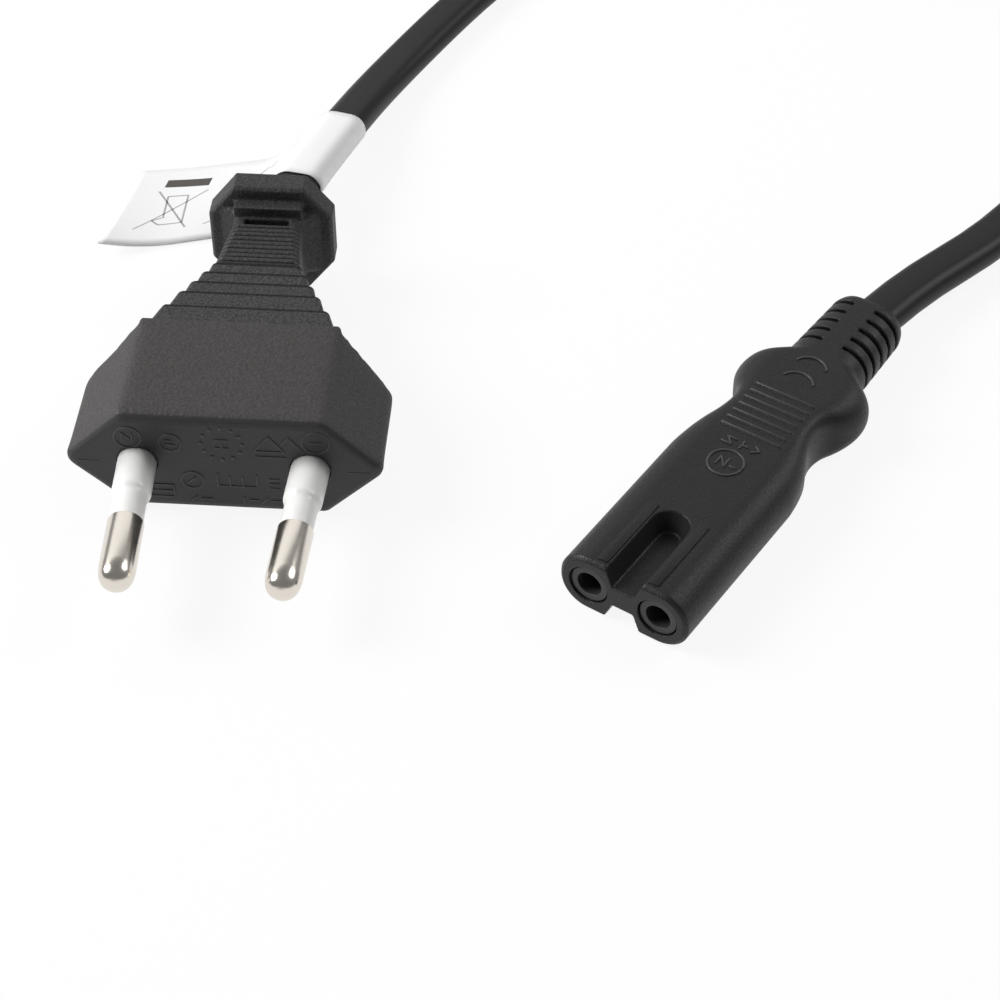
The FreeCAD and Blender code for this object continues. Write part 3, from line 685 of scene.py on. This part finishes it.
def label_print():
    """White film, with a dark bar and a crossed box printed on the upper side of the flag."""
    film = shade("film")
    finish = Finish("label_film", film, roughness=0.45, specular_ior_level=0.45)
    across, along, _ = finish.parts(finish.node("ShaderNodeTexCoord", {}, {}).outputs["UV"])

    def band(value, low, high):
        return (value > low * MM) * (value < high * MM)

    def stroke(start, end):
        run = math.dist(start, end)
        to_x, to_y = ((b - a) / run for a, b in zip(start, end))
        from_x, from_y = across - start[0] * MM, along - start[1] * MM
        return band(from_x * to_x + from_y * to_y, 0, run) \
            * band(from_x * -to_y + from_y * to_x, -0.11, 0.11)

    bar = band(across, 3.7, 8.7) * band(along + across * 0.09, 12.85, 14.45)
    lines = sum(stroke(start, end) for start, end in stretches(LABEL_LINES))
    ink = finish.smooth_range(bar * 2 + lines * 0.58, 0.0, 1.0)
    here = finish.coordinates()
    fibre = finish.noise(here, 0.5 * MM, 3.0)
    finish.bump(fibre, 0.01 * MM)
    white = finish.shades(fibre, film, 0.98, 1.01)
    finish.set("Base Color", finish.mix(ink, white, shade("print")))
    finish.set("Roughness", 0.42 + 0.08 * fibre)
    return finish.material


def woven_strap():
    """Woven strap of the coil's tie."""
    base = shade("tie")
    finish = Finish("tie_weave", base, roughness=0.85)
    here = finish.coordinates()
    wave = finish.node("ShaderNodeTexChecker", {}, {"Vector": here, "Scale": 1 / (0.35 * MM)})
    weave = Number(finish, wave.outputs["Fac"])
    fuzz = finish.noise(here, 0.15 * MM)
    finish.bump(weave * 0.6 + fuzz * 0.6, 0.08 * MM)
    finish.set("Base Color", finish.shades(fuzz, base, 0.7, 1.8))
    return finish.material


# The connector

def connector_rails(edit, sizes, flat):
    """Low rails on both sides of the key groove."""
    middle = (sizes.rail_start + sizes.rail_end) / 2
    for side, _ in SIDES:
        raised_bar(edit, flat @ Matrix.Translation((side * sizes.rail_offset, middle, 0)),
                   (sizes.rail_width, sizes.rail_end - sizes.rail_start, sizes.rail_height),
                   0.06 * MM)


def connector_marks(edit, sizes, flat):
    """Grip lines, a ring, arcs and strokes that stand on the top of the connector."""
    for index in range(sizes.grip_lines):
        at = sizes.grip_first + index * sizes.grip_pitch + 0.15 * MM
        raised_bar(edit, flat @ Matrix.Translation((0, at, 0)),
                   (sizes.grip_length, 0.26 * MM, 0.2 * MM), 0.1 * MM)
    ring = flat @ Matrix.Translation((0, sizes.ring_at, 0))
    raised_ring(edit, ring, sizes.ring_radius, 0.28 * MM, 0.13 * MM)
    for start, end in stretches(CONNECTOR_LINES):
        raised_stroke(edit, ring, start, end, 0.24 * MM, 0.13 * MM)
    for at in CONNECTOR_ARCS:
        arc = flat @ Matrix.Translation(mm(0, at)) @ Matrix.Rotation(math.radians(20), 4, "Z")
        raised_ring(edit, arc, 2.0 * MM, 0.3 * MM, 0.14 * MM, math.radians(140), 20)


class LEAD_OT_connector(Operator):
    """Overmould of the connector with its rounded edges, rails, grip lines and marks"""
    bl_idname = "lead.connector"
    bl_label = "Connector overmould"

    def execute(self, context):
        sizes = context.scene.lead_connector
        place = connector_place(context)
        edit = worn_copy("connector_shell", place, sizes.grain, sizes.keep)
        low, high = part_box("connector_insert")
        flat = Matrix.Translation((0, 0, (high[2] - low[2]) / 2 + 1.05 * MM))
        connector_rails(edit, sizes, flat)
        plain = len(edit.verts)
        connector_marks(edit, sizes, flat)
        mesh = finish_worn(edit, "connector_overmould", place, plain)
        add_piece("connector_overmould", mesh, connector_plastic(place),
                  ["connector_shell"])
        return {"FINISHED"}


class LEAD_OT_insert(Operator):
    """Hard insert whose two noses show in the mating face"""
    bl_idname = "lead.insert"
    bl_label = "Connector insert"

    def execute(self, context):
        sizes = context.scene.lead_connector
        place = connector_place(context)
        edit = worn_copy("connector_insert", place, sizes.nose_grain, sizes.nose_keep)
        mesh = finish_worn(edit, "insert_noses", place, len(edit.verts))
        add_piece("insert_noses", mesh, hard_plastic("insert_hard", shade("insert"), 0.5),
                  ["connector_insert"])
        return {"FINISHED"}


# The plug

def plug_marks(edit, sizes):
    """Rings, dots and strokes on the front face, and a faint parting line."""
    face = Matrix.Rotation(math.radians(90), 4, "X")
    for x, z, radius in PLUG_RINGS:
        raised_ring(edit, Matrix.Translation(mm(x, 0, z)) @ face, radius * MM, sizes.mark_width,
                    sizes.mark_height)
    for step in range(12):
        turn = math.radians(30 * step)
        dot = mm(2.3 * math.cos(turn), 0, 3.3 + 2.3 * math.sin(turn))
        raised_bar(edit, Matrix.Translation(dot) @ face,
                   (2 * sizes.mark_width, 2 * sizes.mark_width, sizes.mark_height))
    for start, end in stretches(PLUG_LINES):
        raised_stroke(edit, face, start, end, sizes.mark_width, sizes.mark_height)
    for side, _ in SIDES:
        raised_bar(edit, Matrix.Translation(mm(side * 15.0, 0, -0.1)) @ face,
                   (2.4 * MM, 0.12 * MM, 0.05 * MM), 0.01 * MM)


class LEAD_OT_plug(Operator):
    """Overmould of the plug: body, stepped neck and collar, with marks on its face"""
    bl_idname = "lead.plug"
    bl_label = "Plug overmould"

    def execute(self, context):
        sizes = context.scene.lead_plug
        place = plug_place(context)
        edit = worn_copy("plug_shell", place, sizes.grain, sizes.keep)
        plain = len(edit.verts)
        soft_to = sizes.bands_from - sizes.grain
        body = [vert for vert in edit.verts if sizes.soft_from < vert.co.y < soft_to]
        for _ in range(sizes.soft_passes):
            bmesh.ops.smooth_vert(edit, verts=body, factor=0.5, use_axis_x=True, use_axis_y=True,
                                  use_axis_z=True)
        plug_marks(edit, sizes)
        mesh = finish_worn(edit, "plug_overmould", place, plain)
        add_piece("plug_overmould", mesh, plug_plastic(place, sizes),
                  ["plug_shell"])
        return {"FINISHED"}


def pin_place(context, side):
    """Place of a pin: its middle line is Y, and it leans in towards its tip."""
    sizes = context.scene.lead_pins
    lean = math.atan((sizes.base_pitch - sizes.tip_pitch) / 2 / sizes.length)
    return plug_place(context) @ Matrix.Translation((side * sizes.base_pitch / 2, 0, 0)) \
        @ Matrix.Rotation(-side * lean, 4, "Z")


class LEAD_OT_pins(Operator):
    """Nickel plated pins, turned, with a bullet nose"""
    bl_idname = "lead.pins"
    bl_label = "Plug pins"

    def execute(self, context):
        sizes = context.scene.lead_pins
        bare_end = sizes.bare - sizes.length
        flange_end = sizes.flange_at + sizes.flange_length
        shoulder = sizes.nose - sizes.length
        rise = 0.62 * sizes.nose
        outline = [
            (0.0, -sizes.length, 0), (sizes.nose_flat, -sizes.length, 0.25 * MM),
            (0.66 * sizes.radius, -sizes.length + 0.17 * sizes.nose, 0.35 * MM),
            (0.9 * sizes.radius, shoulder - rise + 0.1 * sizes.nose, 0.5 * MM),
            (sizes.radius, shoulder, 0.6 * MM),
            (sizes.radius, bare_end, 0.06 * MM), (sizes.core_radius, bare_end, 0),
            (sizes.core_radius, sizes.flange_at, 0), (sizes.flange_radius, sizes.flange_at, 0),
            (sizes.flange_radius, flange_end, 0), (sizes.core_radius, flange_end, 0),
            (sizes.core_radius, sizes.root, 0), (sizes.barrel_radius, sizes.root, 0),
            (sizes.barrel_radius, sizes.barrel_at, 0), (0.0, sizes.barrel_at, 0),
        ]
        for side, name in SIDES:
            place = pin_place(context, side)
            metal = plated_metal("nickel_" + name, shade("nickel"), 0.2, place)
            mesh = turned("plated_pin_" + name, outline, place)
            add_piece("plated_pin_" + name, mesh, metal, ["pin_" + name])
        return {"FINISHED"}


class LEAD_OT_sleeves(Operator):
    """White sleeves on the pins, thicker where they go into the plug"""
    bl_idname = "lead.sleeves"
    bl_label = "Pin sleeves"

    def execute(self, context):
        sizes = context.scene.lead_pins
        white = hard_plastic("sleeve_white", shade("sleeve"), 0.32)
        front = sizes.bare - sizes.length
        outline = [
            (sizes.sleeve_bore, sizes.sleeve_seat, 0), (sizes.sleeve_bore, front, 0),
            (sizes.sleeve_radius, front, 0.12 * MM),
            (sizes.sleeve_radius, -sizes.collar_length - 0.35 * MM, 0.3 * MM),
            (sizes.collar_radius, -sizes.collar_length + 0.25 * MM, 0.3 * MM),
            (sizes.collar_radius, sizes.sleeve_seat, 0), (sizes.sleeve_bore, sizes.sleeve_seat, 0),
        ]
        for side, name in SIDES:
            mesh = turned("white_sleeve_" + name, outline, pin_place(context, side))
            add_piece("white_sleeve_" + name, mesh, white, ["sleeve_" + name])
        return {"FINISHED"}


# The cord

CONNECTOR_ROUTE = (
    (0, 20, 3.75), (0, 31.5, 3.75), (5.6, 56, 1.8), (4.6, 76, 1.8), (-3, 100, 1.8), (-3, 122, 2.2),
)
PLUG_ROUTE = (
    (-64.5395, -5.4803, 7.5), (-68.5636, 1.434, 7.5), (-75.2, 23.9, 4.2), (-78.9, 38.2, 1.8),
    (-80.7, 60, 1.8), (-80.4, 73, 1.8), (-79.2, 86, 4.3), (-77, 104, 13.6), (-77, 122, 13.6),
)


def eased(share):
    """Rises smoothly from 0 to 1."""
    share = min(max(share, 0.0), 1.0)
    return share * share * (3 - 2 * share)


def coil_points(sizes):
    """Turns of the coil from the connector's side to the plug's: in and out, layer on layer."""
    total = sizes.coil_layers * sizes.turns
    steps = round(total / (2 * math.pi) * sizes.points)
    floor = sizes.coil_floor + sizes.thickness / 2
    points = []
    for step in range(steps + 1):
        turn = total * step / steps
        position = turn / sizes.turns
        layer = min(int(position), sizes.coil_layers - 1)
        inward = position - layer if layer % 2 == 0 else layer + 1 - position
        radius = sizes.coil_radius - sizes.turn_pitch * sizes.turns / (2 * math.pi) * inward
        climbed = sum(eased((position - change) / sizes.climb + 0.5)
                      for change in range(1, sizes.coil_layers))
        points.append(Vector((sizes.coil_x + radius * math.cos(turn),
                              sizes.coil_y + radius * math.sin(turn),
                              floor + sizes.layer_pitch * climbed)))
    return points


def cord_route(sizes):
    there = [mm(*point) for point in CONNECTOR_ROUTE]
    back = [mm(*point) for point in reversed(PLUG_ROUTE)]
    return there + coil_points(sizes) + back


def cord_curve(name, sizes):
    """One open spline with the route's points, whose broad side stays level."""
    data = bpy.data.curves.new(name, "CURVE")
    data.dimensions = "3D"
    data.twist_mode = "Z_UP"
    data.resolution_u = 5
    spline = data.splines.new("NURBS")
    route = cord_route(sizes)
    spline.points.add(len(route) - 1)
    for point, place in zip(spline.points, route):
        point.co = (*place, 1.0)
        point.tilt = math.radians(90)
    spline.order_u = 3
    spline.use_endpoint_u = True
    return data


def cord_line(sizes):
    """Points along the cord's own middle line, from the connector to the plug."""
    data = cord_curve("cord_line", sizes)
    probe = bpy.data.objects.new("cord_line", data)
    mesh = bpy.data.meshes.new_from_object(probe)
    points = [vert.co.copy() for vert in mesh.vertices]
    bpy.data.meshes.remove(mesh)
    bpy.data.objects.remove(probe)
    bpy.data.curves.remove(data)
    return points


class LEAD_OT_cord(Operator):
    """The whole flat cord as one curve, from the connector through its coil to the plug"""
    bl_idname = "lead.cord"
    bl_label = "Flat cord"

    def execute(self, context):
        sizes = context.scene.lead_cord
        data = cord_curve("flat_cord", sizes)
        data.extrude = (sizes.width - sizes.thickness) / 2
        data.bevel_depth = sizes.thickness / 2
        data.bevel_resolution = 5
        data.use_fill_caps = True
        add_piece("flat_cord", data, sheath_plastic(),
                  ["cord_connector_end", "cord_coil", "cord_plug_end"])
        return {"FINISHED"}


# The label

def stations(points, start, end, count):
    """Places along the cord, measured from its plug end: origin, way along it and to its right."""
    found = []
    wanted = [start + (end - start) * step / (count - 1) for step in range(count)]
    passed = 0.0
    ordered = points[::-1]
    for here, there in zip(ordered, ordered[1:]):
        run = (there - here).length
        while wanted and passed + run >= wanted[0]:
            along = (there - here).normalized()
            found.append((here + along * (wanted.pop(0) - passed), along, along.cross(UP).normalized()))
        passed += run
    return found


def label_section(cord, sizes):
    """Film from the flag's tip over the cord and back: (sideways, upwards) from the cord's middle."""
    radius = cord.thickness / 2 + sizes.gap + sizes.film / 2
    flat = (cord.width - cord.thickness) / 2
    apart = sizes.film * 0.62

    def height(x):
        fall = eased((x - sizes.shoulder) / (sizes.landing - sizes.shoulder))
        return sizes.rise * max(0.0, (x - sizes.lowest) / (sizes.flag - sizes.lowest)) ** 2 \
            - sizes.drop * fall

    def bend(start, pull, end):
        """Points between two ends, on a curve drawn to a third point."""
        for step in range(1, 8):
            share = step / 8
            yield tuple((1 - share) ** 2 * a + 2 * share * (1 - share) * b + share ** 2 * c
                        for a, b, c in zip(start, pull, end))

    runs = 24
    places = [sizes.flag + (sizes.root - sizes.flag) * step / runs for step in range(runs + 1)]
    upper = [(-x, height(x) + apart) for x in places]
    lower = [(x, z - 2 * apart) for x, z in reversed(upper)]
    shoulder = list(bend(upper[-1], (-3.25 * MM, radius), (-flat, radius)))
    under = list(bend((-flat, -radius), (-3.0 * MM, -1.02 * radius), lower[0]))
    round_side = [(flat + radius * math.sin(math.radians(15 * step)),
                   radius * math.cos(math.radians(15 * step))) for step in range(13)]
    return upper + shoulder + [(-flat, radius)] + round_side + [(-flat, -radius)] + under + lower


class LEAD_OT_label(Operator):
    """White film wrapped round the cord, whose two ends are pressed together into a flag"""
    bl_idname = "lead.label"
    bl_label = "Cord label"

    def execute(self, context):
        cord = context.scene.lead_cord
        sizes = context.scene.lead_label
        section = label_section(cord, sizes)
        places = stations(cord_line(cord), sizes.start, sizes.start + sizes.width, 13)
        middle, _, right = places[len(places) // 2]
        level = UP.cross(right)
        edit = bmesh.new()
        sheet = edit.loops.layers.uv.new("film")
        rows = []
        for index, (origin, along, aside) in enumerate(places):
            offset = (index / (len(places) - 1) - 0.5) * sizes.width
            row = []
            for x, z in section:
                tip = max(0.0, (-x - sizes.lowest) / (sizes.flag - sizes.lowest)) ** 2
                z += sizes.curl * tip * (0.5 - offset / sizes.width) ** 2
                wrapped = origin + aside * x + aside.cross(along) * z
                longer = 1 + sizes.taper * offset / sizes.width
                flat = middle + level * (offset + x * math.tan(sizes.lean)) + UP * z \
                    + right * x * longer
                spread = eased((-x - cord.width / 2) / (3 * MM))
                row.append(edit.verts.new(wrapped.lerp(flat, spread)))
            rows.append(row)
        travelled = [0.0]
        for here, there in zip(section, section[1:]):
            travelled.append(travelled[-1] + math.dist(here, there))
        for row, (near, far) in enumerate(zip(rows, rows[1:])):
            for step in range(len(section) - 1):
                face = edit.faces.new((near[step], near[step + 1], far[step + 1], far[step]))
                corners = ((step, row), (step + 1, row), (step + 1, row + 1), (step, row + 1))
                for loop, (column, line) in zip(face.loops, corners):
                    loop[sheet].uv = (travelled[column], sizes.width * line / (len(places) - 1))
        bmesh.ops.recalc_face_normals(edit, faces=edit.faces)
        mesh = to_mesh(edit, "flag_label")
        label = add_piece("flag_label", mesh, label_print(), ["cord_label"])
        film = label.modifiers.new("Film", "SOLIDIFY")
        film.thickness = sizes.film
        film.offset = 0
        return {"FINISHED"}


# What stays as it is in the solids, and gets its finish here

class LEAD_OT_inner(Operator):
    """Finishes of the contacts, conductors, insulated cores, pin bridge and coil tie"""
    bl_idname = "lead.inner"
    bl_label = "Contacts, cores and tie"

    def execute(self, context):
        finishes = {
            "contact_": plated_metal("contact_brass", shade("brass"), 0.25, connector_place(context)),
            "connector_wire_": strand_metal("copper_strands", shade("copper")),
            "plug_bridge": hard_plastic("bridge_hard", shade("bridge"), 0.45),
            "coil_tie": woven_strap(),
        }
        finishes["plug_wire_"] = finishes["connector_wire_"]
        for name, dye in (("left", "brown"), ("right", "blue")):
            insulation = hard_plastic("insulation_" + name, shade(dye), 0.4)
            finishes["connector_core_" + name] = insulation
            finishes["plug_core_" + name] = insulation
        for node, piece in frame["nodes"].items():
            for start, finish in finishes.items():
                if node.startswith(start):
                    piece.data.materials.clear()
                    piece.data.materials.append(finish)
        return {"FINISHED"}


class LEAD_OT_cord_facts(Operator):
    """Makes a list of the pieces that ride on the cord's plug end, and does nothing more with it"""
    bl_idname = "lead.cord_facts"
    bl_label = "Cord facts"

    def execute(self, context):
        on_cord = ["plug_overmould", "flag_label", "plug_bridge", "coil_tie"]
        on_cord += [start + name for start in ("plated_pin_", "white_sleeve_", "plug_core_", "plug_wire_")
                    for _, name in SIDES]
        return {"FINISHED"}


# The stage

def look_from(stage):
    """Level camera at the photograph's angle."""
    turn, rise = stage.azimuth, stage.elevation
    back = Vector((math.sin(turn) * math.cos(rise), -math.cos(turn) * math.cos(rise), math.sin(rise)))
    right = Vector((math.cos(turn), math.sin(turn), 0))
    target = Vector((stage.target_x, stage.target_y, 0))
    return upright(right, back.cross(right), target + back * stage.distance)


LAMPS = (
    # width and height, then place: to the camera's right, away from it and up, in metres
    ("left_lamp", (0.4, 0.4), (-0.62, 0.1, 0.48)),
    ("right_lamp", (0.4, 0.4), (0.6, 0.25, 0.5)),
    ("back_lamp", (1.2, 0.45), (-0.15, 0.6, 0.42)),
)


def add_lamp(name, watts, size, place, target):
    lamp = bpy.data.lights.new(name, "AREA")
    lamp.shape = "ELLIPSE"
    lamp.size, lamp.size_y = size
    lamp.energy = watts
    holder = put(name, lamp)
    holder.location = place
    holder.rotation_euler = (target - place).to_track_quat("-Z", "Y").to_euler()


FLOOR_WHITE = 0.9


def pale_floor(stage):
    """Floor that camera, gloss and glass see as white, apart from the object's shadow."""
    finish = Finish("pale_floor", tuple(stage.floor), roughness=0.9)
    path = finish.node("ShaderNodeLightPath", {}, {})
    seen = Number(finish, path.outputs["Is Camera Ray"])
    glossy = Number(finish, path.outputs["Is Glossy Ray"])
    through = Number(finish, path.outputs["Is Transmission Ray"])
    white = finish.node("ShaderNodeEmission", {}, {"Color": (1, 1, 1, 1), "Strength": 1.0})
    share = (seen + glossy + through) * FLOOR_WHITE
    mixed = finish.node("ShaderNodeMixShader", {},
                        {0: share, 1: finish.shader.outputs[0], 2: white.outputs[0]})
    output = finish.tree.nodes["Material Output"]
    finish.connect(output.inputs["Surface"], mixed.outputs[0])
    return finish.material


class LEAD_OT_stage(Operator):
    """Camera, lamps, world and the pale floor"""
    bl_idname = "lead.stage"
    bl_label = "Stage"

    def execute(self, context):
        scene = context.scene
        stage = scene.lead_stage
        camera = put("camera", bpy.data.cameras.new("camera"))
        camera.data.lens = stage.lens / MM
        camera.data.clip_start = 0.01
        camera.matrix_world = look_from(stage)
        scene.camera = camera
        right = camera.matrix_world.col[0].to_3d()
        away = UP.cross(right)
        target = Vector((stage.target_x, stage.target_y, 0))
        for name, size, (side, back, rise) in LAMPS:
            add_lamp(name, getattr(stage, name), size,
                     target + right * side + away * back + UP * rise, target)
        edit = bmesh.new()
        bmesh.ops.create_grid(edit, x_segments=1, y_segments=1, size=3.0,
                              matrix=Matrix.Translation((0, 0, -0.05 * MM)))
        mesh = to_mesh(edit, "floor")
        mesh.materials.append(pale_floor(stage))
        put("floor", mesh)
        world = bpy.data.worlds.new("world")
        world.use_nodes = True
        sky = world.node_tree.nodes["Background"]
        sky.inputs["Color"].default_value = (1, 1, 1, 1)
        sky.inputs["Strength"].default_value = stage.world
        scene.world = world
        scene.view_settings.view_transform = "Standard"
        return {"FINISHED"}


class LEAD_PT_parts(Panel):
    """Lists the pieces of the lead in the order in which they are made"""
    bl_idname = "LEAD_PT_parts"
    bl_label = "Mains lead"
    bl_space_type = "VIEW_3D"
    bl_region_type = "UI"
    bl_category = "Mains lead"

    def draw(self, context):
        for operator in OPERATORS:
            self.layout.operator(operator.bl_idname)
        for group in GROUPS:
            box = self.layout.box()
            box.label(text=GROUPS[group].__doc__.split(",")[0])
            values = getattr(context.scene, group)
            for name in GROUPS[group].__annotations__:
                box.prop(values, name)


OPERATORS = (LEAD_OT_stage, LEAD_OT_cord, LEAD_OT_label, LEAD_OT_connector, LEAD_OT_insert,
             LEAD_OT_plug, LEAD_OT_pins, LEAD_OT_sleeves, LEAD_OT_inner, LEAD_OT_cord_facts)
CLASSES = (*GROUPS.values(), *OPERATORS, LEAD_PT_parts)


def register():
    for made in CLASSES:
        bpy.utils.register_class(made)
    for name, group in GROUPS.items():
        setattr(bpy.types.Scene, name, PointerProperty(type=group))


def unregister():
    for name in GROUPS:
        delattr(bpy.types.Scene, name)
    for made in reversed(CLASSES):
        bpy.utils.unregister_class(made)


def main():
    register()
    for operator in OPERATORS:
        group, name = operator.bl_idname.split(".")
        getattr(getattr(bpy.ops, group), name)()


if __name__ == "__main__":
    main()
